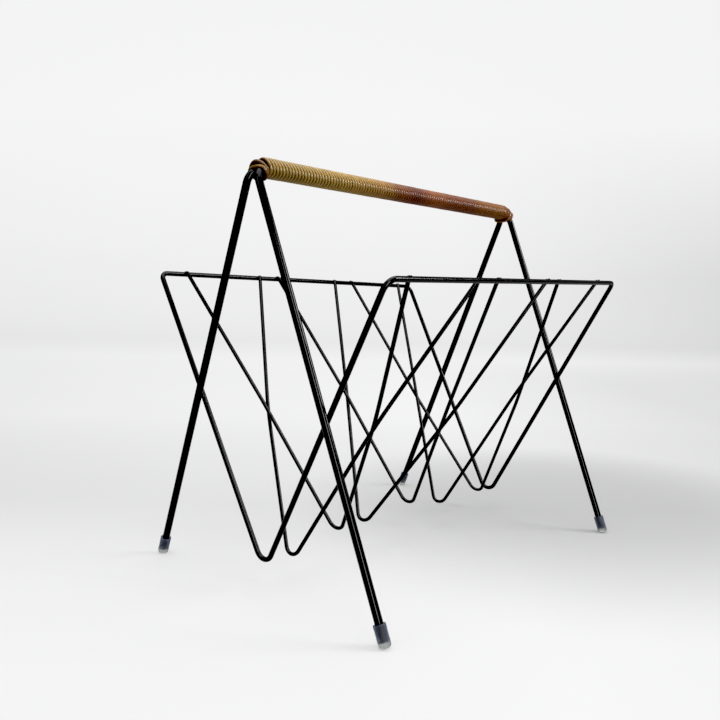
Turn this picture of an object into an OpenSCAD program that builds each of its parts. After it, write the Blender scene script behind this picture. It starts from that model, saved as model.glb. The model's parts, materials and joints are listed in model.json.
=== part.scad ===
// Wire magazine rack: two bent-rod handle frames, a V-shaped wire basket and a cord-bound handle.
// Millimetres. +X runs along the handle, +Y to the back, +Z up. The floor is z = 0, below the middle.

/* [Handle frames] */
// Distance between the leg centre lines where they meet the handle
handle_length = 370; // [300:1:460]
// Height of the handle rods' centre line above the floor
handle_height = 336.6; // [280:0.1:420]
// Diameter of the rod of both handle frames
leg_d = 6.3; // [5:0.1:10]
// Bend radius of the elbows, to the rod's centre line
elbow_r = 11; // [9:0.5:30]
// Distance between the front and back feet at the floor
foot_width = 270.6; // [200:0.1:340]

/* [Basket rim] */
// Diameter of the rim rod
rim_d = 4.4; // [3:0.1:7]
// Length of the rim between its end corners
rim_length = 360; // [290:0.5:450]
// Width of the rim between its two rails
rim_width = 263.3; // [180:0.1:330]
// Height of the rails above the floor
rim_height = 256; // [200:0.5:320]
// Distance between the bottom bends of the two ends
rim_low_length = 337.6; // [270:0.1:440]
// Height at which the two arms of the left end would meet
rim_low_left = 15.7; // [8:0.1:40]
// Height at which the two arms of the right end would meet
rim_low_right = 12.7; // [8:0.1:40]
// How far the bottom bends of the ends sit behind the middle
rim_low_shift = 1.2; // [-4:0.1:4]
// Bend radius of the bottom bends of the ends
rim_low_r = 9.5; // [6:0.5:20]
// Bend radius of the back left corner
corner_r_back_left = 6; // [4.5:0.5:16]
// Bend radius of the front left corner
corner_r_front_left = 9; // [4.5:0.5:16]
// Bend radius of the front right corner
corner_r_front_right = 6; // [4.5:0.5:16]
// Bend radius of the back right corner
corner_r_back_right = 8; // [4.5:0.5:16]
// Rise of the back left corner above the rail height
rise_back_left = 1.8; // [-6:0.1:6]
// Rise of the front left corner above the rail height
rise_front_left = -3.7; // [-6:0.1:6]
// Rise of the front right corner above the rail height
rise_front_right = 3.3; // [-6:0.1:6]
// Rise of the back right corner above the rail height
rise_back_right = -1.6; // [-6:0.1:6]

/* [Basket wires] */
// Diameter of the basket wires
wire_d = 3.4; // [2:0.1:5]
// Bend radius of the bottom bend of each wire
wire_low_r = 8.5; // [5:0.5:16]
// Bend radius where an arm is sprung sideways at its middle
spring_r = 400; // [150:10:500]
// Length of wire that stands past its weld on a rail
wire_nub = 0.5; // [0.5:0.1:5]

/* [Wire 1] */
// Position of the tops of wire 1 along the rails
wire_1_top = -66.1; // [-170:0.1:170]
// Offset of its back top along the rail, with the front top the other way
wire_1_skew = -1.9; // [-8:0.1:8]
// Position of its bottom bend
wire_1_low = -142.4; // [-170:0.1:170]
// Height at which its two arms would meet
wire_1_low_z = 13.4; // [8:0.1:60]
// Sideways spring of its back arm
wire_1_bow_back = -5.7; // [-15:0.1:15]
// Sideways spring of its front arm
wire_1_bow_front = -11.5; // [-15:0.1:15]

/* [Wire 2] */
// Position of the tops of wire 2 along the rails
wire_2_top = -153.7; // [-170:0.1:170]
// Offset of its back top along the rail, with the front top the other way
wire_2_skew = -1.2; // [-8:0.1:8]
// Position of its bottom bend
wire_2_low = -82.1; // [-170:0.1:170]
// Height at which its two arms would meet
wire_2_low_z = 23.4; // [8:0.1:60]
// Sideways spring of its back arm
wire_2_bow_back = 1.3; // [-15:0.1:15]
// Sideways spring of its front arm
wire_2_bow_front = 7.9; // [-15:0.1:15]

/* [Wire 3] */
// Position of the tops of wire 3 along the rails
wire_3_top = 43.6; // [-170:0.1:170]
// Offset of its back top along the rail, with the front top the other way
wire_3_skew = -3; // [-8:0.1:8]
// Position of its bottom bend
wire_3_low = -54; // [-170:0.1:170]
// Height at which its two arms would meet
wire_3_low_z = 23.8; // [8:0.1:60]
// Sideways spring of its back arm
wire_3_bow_back = 3.8; // [-15:0.1:15]
// Sideways spring of its front arm
wire_3_bow_front = 4.1; // [-15:0.1:15]

/* [Wire 4] */
// Position of the tops of wire 4 along the rails
wire_4_top = -40.1; // [-170:0.1:170]
// Offset of its back top along the rail, with the front top the other way
wire_4_skew = -3.9; // [-8:0.1:8]
// Position of its bottom bend
wire_4_low = 21.3; // [-170:0.1:170]
// Height at which its two arms would meet
wire_4_low_z = 26.9; // [8:0.1:60]
// Sideways spring of its back arm
wire_4_bow_back = 0.5; // [-15:0.1:15]
// Sideways spring of its front arm
wire_4_bow_front = 2; // [-15:0.1:15]

/* [Wire 5] */
// Position of the tops of wire 5 along the rails
wire_5_top = 150.9; // [-170:0.1:170]
// Offset of its back top along the rail, with the front top the other way
wire_5_skew = 1.3; // [-8:0.1:8]
// Position of its bottom bend
wire_5_low = 66.9; // [-170:0.1:170]
// Height at which its two arms would meet
wire_5_low_z = 15.8; // [8:0.1:60]
// Sideways spring of its back arm
wire_5_bow_back = -3.3; // [-15:0.1:15]
// Sideways spring of its front arm
wire_5_bow_front = 0.5; // [-15:0.1:15]

/* [Wire 6] */
// Position of the tops of wire 6 along the rails
wire_6_top = 67.8; // [-170:0.1:170]
// Offset of its back top along the rail, with the front top the other way
wire_6_skew = 0; // [-8:0.1:8]
// Position of its bottom bend
wire_6_low = 147.5; // [-170:0.1:170]
// Height at which its two arms would meet
wire_6_low_z = 16.5; // [8:0.1:60]
// Sideways spring of its back arm
wire_6_bow_back = 0.5; // [-15:0.1:15]
// Sideways spring of its front arm
wire_6_bow_front = 0.5; // [-15:0.1:15]

/* [Handle binding] */
// Diameter of the cord wound round the handle
cord_d = 3.3; // [2:0.1:5]
// Diameter of the packing strip that lies on the two handle rods
core_d = 4.6; // [3:0.1:8]
// Turns of cord laid round the left elbows
turns_left = 2; // [1:1:3]
// Turns of cord laid round the right elbows
turns_right = 4; // [1:1:4]
// Length of the cord's loose tail at the right end
tail_length = 5; // [2:0.5:12]

/* [Foot caps] */
// Outside diameter of the caps
cap_d = 9.2; // [7.5:0.1:14]
// Length of the caps, from the floor
cap_length = 17; // [12:0.5:30]
// Thickness of cap material under the end of the leg
cap_floor = 5; // [4:0.1:8]
// Height of the middle of the cap's round end above the floor, which leaves a flat to stand on
cap_round_z = 3.9; // [3:0.1:4.4]

/* [Welds] */
// Reach of the metal run in where a leg crosses the rim
leg_bead_r = 2.8; // [2:0.1:4]
// Reach of the metal run in where a wire crosses a rail
wire_bead_r = 2; // [1.5:0.1:3]

/* [Hidden] */
$fn = 48;
// Gap between two rods that are welded where they cross
weld_gap = 0.05;
// Gap between a bead and each rod that it fills between
bead_gap = 0.02;
// Width of the spot where the rods touch, and half the bead's depth, as shares of its reach
touch_share = 0.3;
bead_depth = 0.5;
// Sides of a bead, and how far they are turned from the first rod
bead_sides = 12;
bead_turn = 11;
// Gap between the handle rods and what is bound to them
fit_gap = 0.05;
// A bend is this much stouter than its rod, and the straight runs this far into it
swell = 0.02;
lap = 0.2;
// Slack across and around the cord's turns on an elbow
turn_slack = 0.9;
turn_ease = 0.5;
// Angle round the elbow of the first turn, and from one turn to the next
turn_start = 10;
turn_step = 16;
// Where the cord's tail starts from the last turn: back along the handle, across and down
tail_start = [-2, 1, -1];
// How much thinner the tail is than the wound cord
tail_slim = 0.5;
// Directions used to draw the binding's outline
outline_step = 7.5;
// Rounds in which a foot, or a wire's tip and knee, settle against each other
settle_rounds = 6;
// How much of a crossing pair's clearance its arms need at their knees, since they cross below them
spring_need = 1.7;
// How far a cut runs past the face that it opens
past = 1;

rod_y = (leg_d + 2 * fit_gap) / 2;
core_z = sqrt(pow((leg_d + core_d) / 2 + fit_gap, 2) - rod_y * rod_y);
leg_out = (foot_width / 2 - rod_y) / handle_height;
leg_lean = atan(leg_out);

function unit(v) = v / norm(v);
function side(v) = unit(cross(v, abs(v[2]) < 0.8 ? [0, 0, 1] : [1, 0, 0]));
// The point of line p + u s that comes nearest to line q + v t, for unit u and v
function nearest(p, u, q, v) = p + u * (((q - p) * u - ((q - p) * v) * (u * v)) / (1 - (u * v) * (u * v)));

// The rim: corners and bottom bends, for end e (-1 left, 1 right) and side s (-1 front, 1 back)
function rise_left(s) = s > 0 ? rise_back_left : rise_front_left;
function rise_right(s) = s > 0 ? rise_back_right : rise_front_right;
function rise(e, s) = e < 0 ? rise_left(s) : rise_right(s);
function corner(e, s) = [e * rim_length / 2, s * rim_width / 2, rim_height + rise(e, s)];
function low(e) = [e * rim_low_length / 2, rim_low_shift, e < 0 ? rim_low_left : rim_low_right];
function arm_dir(e, s) = unit(low(e) - corner(e, s));
function rail_dir(s) = unit(corner(1, s) - corner(-1, s));

// The legs: each foot is set along X so that the leg just clears the rim's arm where they cross
function leg_top(e, s) = [e * handle_length / 2, s * rod_y, handle_height];
function foot_at(e, s, x) = [x, s * foot_width / 2, 0];
function leg_pitch(e, s, x) = unit(foot_at(e, s, x) - leg_top(e, s));
function spare(e, s, x) = let(
    across = unit(cross(leg_pitch(e, s, x), arm_dir(e, s)))
) abs((corner(e, s) - leg_top(e, s)) * across);
function wanted() = (leg_d + rim_d) / 2 + weld_gap;
function cross_share(e, s) = let(
    a = nearest(leg_top(e, s), leg_pitch(e, s, e * handle_length / 2), corner(e, s), arm_dir(e, s))
) (handle_height - a[2]) / handle_height;
function settle(e, s, x, n) = n == 0 ? x : let(
    step = e * (wanted() - spare(e, s, x)) / cross_share(e, s)
) settle(e, s, x + step, n - 1);
function foot(e, s) = foot_at(e, s, settle(e, s, e * handle_length / 2, settle_rounds));
function leg_dir(e, s) = unit(foot(e, s) - leg_top(e, s));
// Where the straight run ends and the elbows of end e start, from the middle
function elbow_back(e, s) = elbow_r * tan(acos([e, 0, 0] * leg_dir(e, s)) / 2);
function run(e) = handle_length / 2 - max(elbow_back(e, -1), elbow_back(e, 1));

// The wires, for wire i and side s. Wires 2, 4 and 5 pass inside their partners, and each pair is
// sprung apart where its arms cross, by what their own slopes leave short.
function w_top(i) = [wire_1_top, wire_2_top, wire_3_top, wire_4_top, wire_5_top, wire_6_top][i - 1];
function w_skew(i) = [wire_1_skew, wire_2_skew, wire_3_skew, wire_4_skew, wire_5_skew, wire_6_skew][i - 1];
function w_low(i) = [wire_1_low, wire_2_low, wire_3_low, wire_4_low, wire_5_low, wire_6_low][i - 1];
function w_low_z(i) = [
    wire_1_low_z, wire_2_low_z, wire_3_low_z, wire_4_low_z, wire_5_low_z, wire_6_low_z
][i - 1];
function w_bow_back(i) = [
    wire_1_bow_back, wire_2_bow_back, wire_3_bow_back, wire_4_bow_back, wire_5_bow_back, wire_6_bow_back
][i - 1];
function w_bow_front(i) = [
    wire_1_bow_front, wire_2_bow_front, wire_3_bow_front, wire_4_bow_front, wire_5_bow_front, wire_6_bow_front
][i - 1];
function w_bow(i, s) = s > 0 ? w_bow_back(i) : w_bow_front(i);
function partner(i) = [2, 1, 4, 3, 6, 5][i - 1];
function inner(i) = i == 2 || i == 4 || i == 5;
function rail_at(i, s) = let(
    along = w_top(i) + s * w_skew(i) + rim_length / 2
) corner(-1, s) + rail_dir(s) * along / rail_dir(s)[0];
function wire_low(i) = [w_low(i), 0, w_low_z(i)];
function low_mean() = (w_low_z(1) + w_low_z(2) + w_low_z(3) + w_low_z(4) + w_low_z(5) + w_low_z(6)) / 6;
function plane_out(s) = unit([0, s * (rim_height - low_mean()), -rim_width / 2]);
function spring(i) = let(
    a = inner(i) ? i : partner(i),
    b = partner(a),
    share = 0.5 * (w_low_z(a) - w_low_z(b)) * sin(atan(rim_width / 2 / rim_height))
) max(0, wire_d + 2 * weld_gap - share) * spring_need / 2 * (inner(i) ? -1 : 1);
function knee(i, s, top) = (top + wire_low(i)) / 2 + [w_bow(i, s), 0, 0] + plane_out(s) * spring(i);
function weld_side(i, s, d) = let(n = unit(cross(rail_dir(s), d))) n * (n[2] < 0 ? -1 : 1);
function wire_reach() = (rim_d + wire_d) / 2 + weld_gap;
function toe(i, s, top, n) = n == 0 ? top : let(
    d = unit(knee(i, s, top) - top)
) toe(i, s, rail_at(i, s) + weld_side(i, s, d) * wire_reach(), n - 1);
function wire_on_rail(i, s) = toe(i, s, rail_at(i, s), settle_rounds);
function wire_dir(i, s) = unit(knee(i, s, wire_on_rail(i, s)) - wire_on_rail(i, s));
function wire_end(i, s) = wire_on_rail(i, s) - wire_dir(i, s) * wire_nub;

// The outline of the binding: the curve that lies `out` outside a set of round bars
function bar_reach(b, a) = b[0] * cos(a) + b[1] * sin(a) + b[2];
function widest(bars, a, k) = k == len(bars) - 1 ? k : let(m = widest(bars, a, k + 1)) (
    bar_reach(bars[k], a) >= bar_reach(bars[m], a) ? k : m
);
function outline(bars, out) = [
    for (a = [outline_step / 2:outline_step:359]) let(b = bars[widest(bars, a, 0)])
        [b[0] + (b[2] + out) * cos(a), b[1] + (b[2] + out) * sin(a)]
];

module aim(o, x, z) {
    y = cross(z, x);
    multmatrix([
        [x[0], y[0], z[0], o[0]],
        [x[1], y[1], z[1], o[1]],
        [x[2], y[2], z[2], o[2]],
        [0, 0, 0, 1]
    ]) children();
}

module straight(a, b, d, over_a = 0, over_b = 0) {
    v = unit(b - a);
    aim(a - v * over_a, side(v), v) cylinder(d = d, h = norm(b - a) + over_a + over_b);
}

// A length of rod through p along u, turned so that its seam faces away
module cutter(p, u, away, d, reach) {
    aim(p - u * reach, away, u) cylinder(d = d, h = 2 * reach);
}

// A bend at corner p from direction u to direction v
module bend(p, u, v, r, d) {
    turn = acos(u * v);
    n = unit(cross(u, v));
    c = p - u * (r * tan(turn / 2)) + cross(n, u) * r;
    aim(c, -cross(n, u), n)
        rotate_extrude(angle = turn)
            translate([r, 0]) circle(d = d + 2 * swell);
}

// A rod through the corners pts, bent at each to its radius in rads (0 for an end)
module bent_rod(pts, rads, d, closed = false) {
    n = len(pts);
    function dir(i) = unit(pts[(i + 1) % n] - pts[i % n]);
    function back(i) = rads[i] == 0 ? 0 : rads[i] * tan(acos(dir(i + n - 1) * dir(i)) / 2);
    for (i = [0:closed ? n - 1 : n - 2]) {
        j = (i + 1) % n;
        straight(
            pts[i] + dir(i) * back(i),
            pts[j] - dir(i) * back(j),
            d,
            rads[i] > 0 ? lap : 0,
            rads[j] > 0 ? lap : 0
        );
    }
    for (i = [0:n - 1])
        if (rads[i] > 0)
            bend(pts[i], dir(i + n - 1), dir(i), rads[i], d);
}

// Where the leg ends inside its cap
function leg_end(e, s) = foot(e, s) - leg_dir(e, s) * (cap_floor / abs(leg_dir(e, s)[2]));

module frame(s) {
    color([0.04, 0.04, 0.045])
        bent_rod(
            [leg_end(-1, s), leg_top(-1, s), leg_top(1, s), leg_end(1, s)],
            [0, elbow_r, elbow_r, 0],
            leg_d
        );
}

module basket_rim() {
    color([0.04, 0.04, 0.045])
        bent_rod(
            [corner(-1, 1), low(-1), corner(-1, -1), corner(1, -1), low(1), corner(1, 1)],
            [
                corner_r_back_left, rim_low_r, corner_r_front_left,
                corner_r_front_right, rim_low_r, corner_r_back_right
            ],
            rim_d,
            true
        );
}

module wire(i) {
    color([0.05, 0.05, 0.055])
        bent_rod(
            [
                wire_end(i, 1),
                knee(i, 1, wire_on_rail(i, 1)),
                wire_low(i),
                knee(i, -1, wire_on_rail(i, -1)),
                wire_end(i, -1)
            ],
            [0, spring_r, wire_low_r, spring_r, 0],
            wire_d
        );
}

// A short flat-sided slug of radius r along n, reaching h each way from c
module slug(c, u, n, r, h) {
    aim(c, u, n) rotate([0, 0, bead_turn]) cylinder(r = r, h = 2 * h, center = true, $fn = bead_sides);
}

// Metal run into the crevice where two rods cross: a slug less both rods and less the spot where they touch
module bead(p, u, dp, q, v, dq, r) {
    a = nearest(p, u, q, v);
    b = nearest(q, v, p, u);
    n = unit(b - a);
    c = a + n * (dp + weld_gap) / 2;
    color([0.08, 0.08, 0.085])
        difference() {
            slug(c, u, n, r, r * bead_depth);
            slug(c, u, n, r * touch_share, r);
            cutter(a, u, -n, dp + 2 * bead_gap, 1.5 * r);
            cutter(b, v, n, dq + 2 * bead_gap, 1.5 * r);
        }
}

module leg_weld(e, s) {
    bead(leg_top(e, s), leg_dir(e, s), leg_d, corner(e, s), arm_dir(e, s), rim_d, leg_bead_r);
}

module wire_weld(i, s) {
    bead(corner(-1, s), rail_dir(s), rim_d, wire_on_rail(i, s), wire_dir(i, s), wire_d, wire_bead_r);
}

module foot_cap(e, s) {
    v = -leg_dir(e, s);
    base = foot(e, s);
    round_at = base + v * (cap_round_z / v[2]);
    below = 2 * cap_d;
    color([0.42, 0.46, 0.52])
        difference() {
            union() {
                straight(round_at, base + v * cap_length, cap_d);
                translate(round_at) sphere(d = cap_d - 2 * swell);
            }
            straight(leg_end(e, s) - v * fit_gap, base + v * (cap_length + past), leg_d + 2 * fit_gap);
            translate(base + [-below / 2, -below / 2, -below]) cube(below);
        }
}

module handle_core() {
    color([0.24, 0.09, 0.06])
        translate([-run(-1), 0, handle_height + core_z])
            rotate([0, 90, 0]) cylinder(d = core_d, h = run(-1) + run(1));
}

// One turn of cord round both elbows of end e, at angle a round the bend
module elbow_turn(e, a) {
    drop = elbow_r * (1 - cos(a));
    y = rod_y + drop * sin(leg_lean);
    bars = [[0, y + turn_slack * sin(a), leg_d / 2], [0, -y - turn_slack * sin(a), leg_d / 2]];
    translate([e * (run(e) + elbow_r * sin(a)), 0, handle_height - drop * cos(leg_lean)])
        rotate([0, e * (90 + atan2(sin(a) * cos(leg_lean), cos(a))), 0])
            translate([0, 0, -cord_d / 2]) linear_extrude(cord_d) difference() {
                polygon(outline(bars, turn_ease + cord_d));
                polygon(outline(bars, turn_ease));
            }
}

module handle_wrap() {
    bars = [[0, rod_y, leg_d / 2], [0, -rod_y, leg_d / 2], [-core_z, 0, core_d / 2]];
    last = turn_start + turn_step * (turns_right - 1);
    drop = elbow_r * (1 - cos(last));
    tail_y = rod_y + drop * sin(leg_lean) + turn_slack + leg_d / 2 + turn_ease;
    tail = [run(1) + elbow_r * sin(last), tail_y, handle_height - drop * cos(leg_lean)] + tail_start;
    color([0.6, 0.46, 0.24])
        union() {
            translate([-run(-1), 0, handle_height])
                rotate([0, 90, 0]) linear_extrude(run(-1) + run(1)) difference() {
                    polygon(outline(bars, fit_gap + cord_d));
                    polygon(outline(bars, fit_gap));
                }
            for (k = [0:turns_left - 1]) elbow_turn(-1, turn_start + turn_step * k);
            for (k = [0:turns_right - 1]) elbow_turn(1, turn_start + turn_step * k);
            straight(tail, tail + [-tail_length, tail_length, -tail_length / 2], cord_d - tail_slim);
        }
}

frame(-1);  // frame_front
frame(1);  // frame_back
basket_rim();
wire(1);  // wire_1
wire(2);  // wire_2
wire(3);  // wire_3
wire(4);  // wire_4
wire(5);  // wire_5
wire(6);  // wire_6
handle_core();
handle_wrap();
foot_cap(-1, -1);  // cap_front_left
foot_cap(1, -1);  // cap_front_right
foot_cap(-1, 1);  // cap_back_left
foot_cap(1, 1);  // cap_back_right
leg_weld(-1, -1);  // weld_leg_front_left
leg_weld(1, -1);  // weld_leg_front_right
leg_weld(-1, 1);  // weld_leg_back_left
leg_weld(1, 1);  // weld_leg_back_right
wire_weld(1, 1);  // weld_1_back
wire_weld(1, -1);  // weld_1_front
wire_weld(2, 1);  // weld_2_back
wire_weld(2, -1);  // weld_2_front
wire_weld(3, 1);  // weld_3_back
wire_weld(3, -1);  // weld_3_front
wire_weld(4, 1);  // weld_4_back
wire_weld(4, -1);  // weld_4_front
wire_weld(5, 1);  // weld_5_back
wire_weld(5, -1);  // weld_5_front
wire_weld(6, 1);  // weld_6_back
wire_weld(6, -1);  // weld_6_front
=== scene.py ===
import json

import bpy
import numpy as np
from mathutils import Matrix, Vector


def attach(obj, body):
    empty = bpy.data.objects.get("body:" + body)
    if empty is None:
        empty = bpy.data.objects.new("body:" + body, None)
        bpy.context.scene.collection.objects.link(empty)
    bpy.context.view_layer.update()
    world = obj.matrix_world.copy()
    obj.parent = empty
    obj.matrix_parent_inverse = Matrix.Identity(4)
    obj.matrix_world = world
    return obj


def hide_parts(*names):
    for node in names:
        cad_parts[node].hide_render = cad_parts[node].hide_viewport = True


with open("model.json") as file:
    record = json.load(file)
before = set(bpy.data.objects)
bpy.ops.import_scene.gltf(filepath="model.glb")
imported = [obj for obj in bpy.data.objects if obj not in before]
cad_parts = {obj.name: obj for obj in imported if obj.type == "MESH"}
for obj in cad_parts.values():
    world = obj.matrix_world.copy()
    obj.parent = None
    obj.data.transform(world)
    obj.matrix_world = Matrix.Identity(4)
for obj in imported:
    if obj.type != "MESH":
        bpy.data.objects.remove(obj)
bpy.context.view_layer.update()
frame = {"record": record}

# ------------------------------------------------------------------ the two handle frames
# Each frame is one steel rod, 6.3 mm thick, bent at two elbows into a handle run and two legs
# that lean out to the floor. The pair stand back to back and are dipped in black gloss lacquer.
MM = 0.001
handle_length, handle_height = 370, 336.6
leg_d, elbow_r, foot_width = 6.3, 11, 270.6
rod_y = leg_d / 2 + 0.05
leg_end_z, cut_edge = 5, 0.8  # height of a leg's cut end, and the rounding of its edge
rod_sides, ring_gap = 32, 9
arc_step, tight_bend = 5, 10  # degrees between rings in a bend, and the radius that squeezes fully
feet_at = {mount["name"]: mount["pos_m"][0] / MM for mount in frame["record"]["mounts"]}
foot_x = {
    (end, side): feet_at[f"foot_{row}_{hand}"]
    for end, hand in ((-1, "left"), (1, "right"))
    for side, row in ((-1, "front"), (1, "back"))
}


def unit(v):
    """A vector, or each row of vectors, divided by its length."""
    v = np.asarray(v, float)
    return v / np.linalg.norm(v, axis=-1, keepdims=True)


def bent_route(corners, radii, step, loop=False):
    """The middle line of a bent rod, as points, directions, bend strengths and inward directions.

    It runs straight between corners. At a corner of radius r, where the direction turns from u to
    v, an arc touches both runs: with m the part of v square to u, its middle is r m away from
    where it starts, and a point at angle a is that middle - r cos(a) m + r sin(a) u.
    """
    corners = np.array(corners, float)
    count = len(corners)
    ahead = unit(np.roll(corners, -1, 0) - corners)
    starts, stops, pieces = corners.copy(), corners.copy(), [None] * count
    for i, r in enumerate(radii):
        if r == 0:
            continue
        u, v = ahead[i - 1], ahead[i]
        turn = np.arccos(u @ v)
        back = r * np.tan(turn / 2)
        m = unit(v - u * (u @ v))
        a = np.linspace(0, turn, max(5, int(np.degrees(turn) / arc_step)))[:, None]
        middle = corners[i] - u * back + m * r
        pieces[i] = (
            middle - r * np.cos(a) * m + r * np.sin(a) * u,
            np.sin(a) * m + np.cos(a) * u,
            np.sin(np.pi * a[:, 0] / turn) * min(1.0, tight_bend / r),
            np.sin(a) * -u + np.cos(a) * m,
        )
        stops[i], starts[i] = pieces[i][0][0], pieces[i][0][-1]
    line = [[], [], [], []]
    for i in range(count):
        if pieces[i] is not None:
            for held, new in zip(line, pieces[i]):
                held.append(new)
        if i == count - 1 and not loop:
            continue
        a, b = starts[i], stops[(i + 1) % count]
        rows = max(2, int(np.linalg.norm(b - a) / step) + 1)
        t = np.linspace(0, 1, rows)[:, None]
        if pieces[i] is not None:
            t = t[1:]
        if pieces[(i + 1) % count] is not None:
            t = t[:-1]
        line[0].append(a + (b - a) * t)
        line[1].append(np.repeat(ahead[i][None], len(t), 0))
        line[2].append(np.zeros(len(t)))
        line[3].append(np.repeat(unit(np.cross(ahead[i], [0.3, 0.2, 1]))[None], len(t), 0))
    return [np.concatenate(part) for part in line]


def rod_rings(route, across, d, sides, flatten=0.035):
    """Rings of a round rod along its middle line: point + r (cos t side + sin t up).

    side is the direction crossed with `across`, and up is square to both. In a bend each ring is
    squeezed towards the bend's middle by a share of its own width, as a bent bar's section is.
    """
    points, dirs, strength, inward = route
    out = unit(np.cross(dirs, across))
    up = np.cross(dirs, out)
    t = np.linspace(0, 2 * np.pi, sides, endpoint=False)
    cos_t, sin_t = np.cos(t)[None, :, None], np.sin(t)[None, :, None]
    off = d / 2 * (cos_t * out[:, None] + sin_t * up[:, None])
    squeeze = np.einsum("ijk,ik->ij", off, inward) * (flatten * strength)[:, None]
    return points[:, None] + off - squeeze[:, :, None] * inward[:, None]


def rounded_ends(rings, d, edge):
    """Rings with both ends finished by a rounded edge: at angle a from 0 to 90 degrees a ring
    shrinks by edge (1 - cos a) about its middle and moves out by edge sin a."""
    a = np.linspace(0, np.pi / 2, 6)[1:, None, None]
    caps = []
    for first, second in ((rings[0], rings[1]), (rings[-1], rings[-2])):
        middle = first.mean(0)
        away = unit(middle - second.mean(0))
        share = 1 - edge * (1 - np.cos(a)) / (d / 2)
        caps.append(middle + (first - middle)[None] * share + away * edge * np.sin(a))
    return np.concatenate([caps[0][::-1], rings, caps[1]])


def skin(name, rings, loop=False, uv=None, values=None):
    """Makes a piece from rings of points in millimetres, as many sides to each ring.

    Each cell between two rings is a four-sided face, turned to face out. An open piece's first
    and last rings close on a point at their middle. uv holds two numbers and values one number
    for every point of the rings.
    """
    n, m = rings.shape[:2]
    points = rings.reshape(-1, 3)
    i = np.arange(n if loop else n - 1)[:, None]
    j = np.arange(m)[None]
    k, l = (i + 1) % n, (j + 1) % m
    cells = np.stack([i * m + j, k * m + j, k * m + l, i * m + l], -1).reshape(-1, 4)
    faces = cells.tolist()
    if not loop:
        points = np.vstack([points, rings[0].mean(0), rings[-1].mean(0)])
        turn = np.arange(m)
        nxt = (turn + 1) % m
        first = np.stack([np.full(m, n * m), turn, nxt], -1)
        last = np.stack([np.full(m, n * m + 1), (n - 1) * m + nxt, (n - 1) * m + turn], -1)
        faces += first.tolist() + last.tolist()
    a, b, c = (points[cells[:, q]] for q in (0, 1, 2))
    middles = rings.mean(1)[cells[:, 0] // m]
    if np.sum(np.cross(b - a, c - a) * (a - middles)) < 0:
        faces = [face[::-1] for face in faces]
    mesh = bpy.data.meshes.new(name)
    mesh.from_pydata((points * MM).tolist(), [], faces)
    mesh.polygons.foreach_set("use_smooth", np.ones(len(faces), bool))
    if uv is not None:
        spread = np.vstack([uv.reshape(-1, 2), uv[0].mean(0), uv[-1].mean(0)])
        corner = np.empty(len(mesh.loops), np.int32)
        mesh.loops.foreach_get("vertex_index", corner)
        mesh.uv_layers.new(name="Wound").data.foreach_set("uv", spread[corner].ravel())
    for label, value in (values or {}).items():
        held = np.append(value.ravel(), [value[0].mean(), value[-1].mean()])
        mesh.attributes.new(label, "FLOAT", "POINT").data.foreach_set("value", held)
    piece = bpy.data.objects.new(name, mesh)
    bpy.context.scene.collection.objects.link(piece)
    return piece


def put(tree, kind, into=None, **settings):
    """Adds a node to a tree with its settings, and gives its sockets their values or links."""
    made = tree.nodes.new("ShaderNode" + kind)
    for key, value in settings.items():
        setattr(made, key, value)
    for socket, value in (into or {}).items():
        if isinstance(value, bpy.types.NodeSocket):
            tree.links.new(value, made.inputs[socket])
        else:
            made.inputs[socket].default_value = value
    return made


def new_group(name, inputs, outputs):
    """An empty shader group with named sockets, and its input and output nodes."""
    group = bpy.data.node_groups.new(name, "ShaderNodeTree")
    for word, kinds in (("INPUT", inputs), ("OUTPUT", outputs)):
        for label, kind in kinds.items():
            group.interface.new_socket(label, in_out=word, socket_type="NodeSocket" + kind)
    return group, group.nodes.new("NodeGroupInput"), group.nodes.new("NodeGroupOutput")


def mix_colours(tree, share, first, second):
    """(1 - share) of the first colour and share of the second, as a node's output."""
    return put(tree, "Mix", {0: share, 6: first, 7: second}, data_type="RGBA").outputs[2]


def new_material(name):
    """A new material, with its node tree and its shader."""
    made = bpy.data.materials.new(name)
    made.use_nodes = True
    return made, made.node_tree, made.node_tree.nodes["Principled BSDF"]


def surface(tree, shader, colour, roughness, height, strength, depth):
    """Feeds a shader its colour and roughness, and the slope of a height as a bump of the given
    strength and depth in metres."""
    bumped = put(tree, "Bump", {"Strength": strength, "Distance": depth, "Height": height})
    tree.links.new(colour, shader.inputs["Base Color"])
    tree.links.new(roughness, shader.inputs["Roughness"])
    tree.links.new(bumped.outputs["Normal"], shader.inputs["Normal"])


# Dipped lacquer: a film with a fine orange peel, cloudy gloss, dull rubbed stretches on the
# parts that face up, and small chips down to grey steel.
lacquer, lac_in, lac_out = new_group(
    "Dipped lacquer",
    {"Peel scale": "Float", "Rub": "Float", "Chips": "Float", "Paint": "Color", "Bare": "Color"},
    {"Colour": "Color", "Roughness": "Float", "Height": "Float"},
)
place = put(lacquer, "TexCoord").outputs["Object"]
peel = put(
    lacquer, "TexNoise", {"Vector": place, "Scale": lac_in.outputs["Peel scale"], "Detail": 1.5}
)
cloud = put(lacquer, "TexNoise", {"Vector": place, "Scale": 46, "Detail": 4, "Roughness": 0.62})
wide = put(lacquer, "TexNoise", {"Vector": place, "Scale": 17, "Detail": 2})
facing = put(lacquer, "SeparateXYZ", {"Vector": put(lacquer, "NewGeometry").outputs["Normal"]})
upward = put(
    lacquer, "MapRange", {"Value": facing.outputs["Z"], "From Min": 0.35, "From Max": 0.95}
)
patches = put(
    lacquer, "MapRange", {"Value": wide.outputs["Fac"], "From Min": 0.45, "From Max": 0.7}
)
rubbed = put(lacquer, "Math", {0: upward.outputs[0], 1: patches.outputs[0]}, operation="MULTIPLY")
rub = put(lacquer, "Math", {0: rubbed.outputs[0], 1: lac_in.outputs["Rub"]}, operation="MULTIPLY")
speck = put(lacquer, "TexNoise", {"Vector": place, "Scale": 520, "Detail": 2.5, "Roughness": 0.55})
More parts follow.
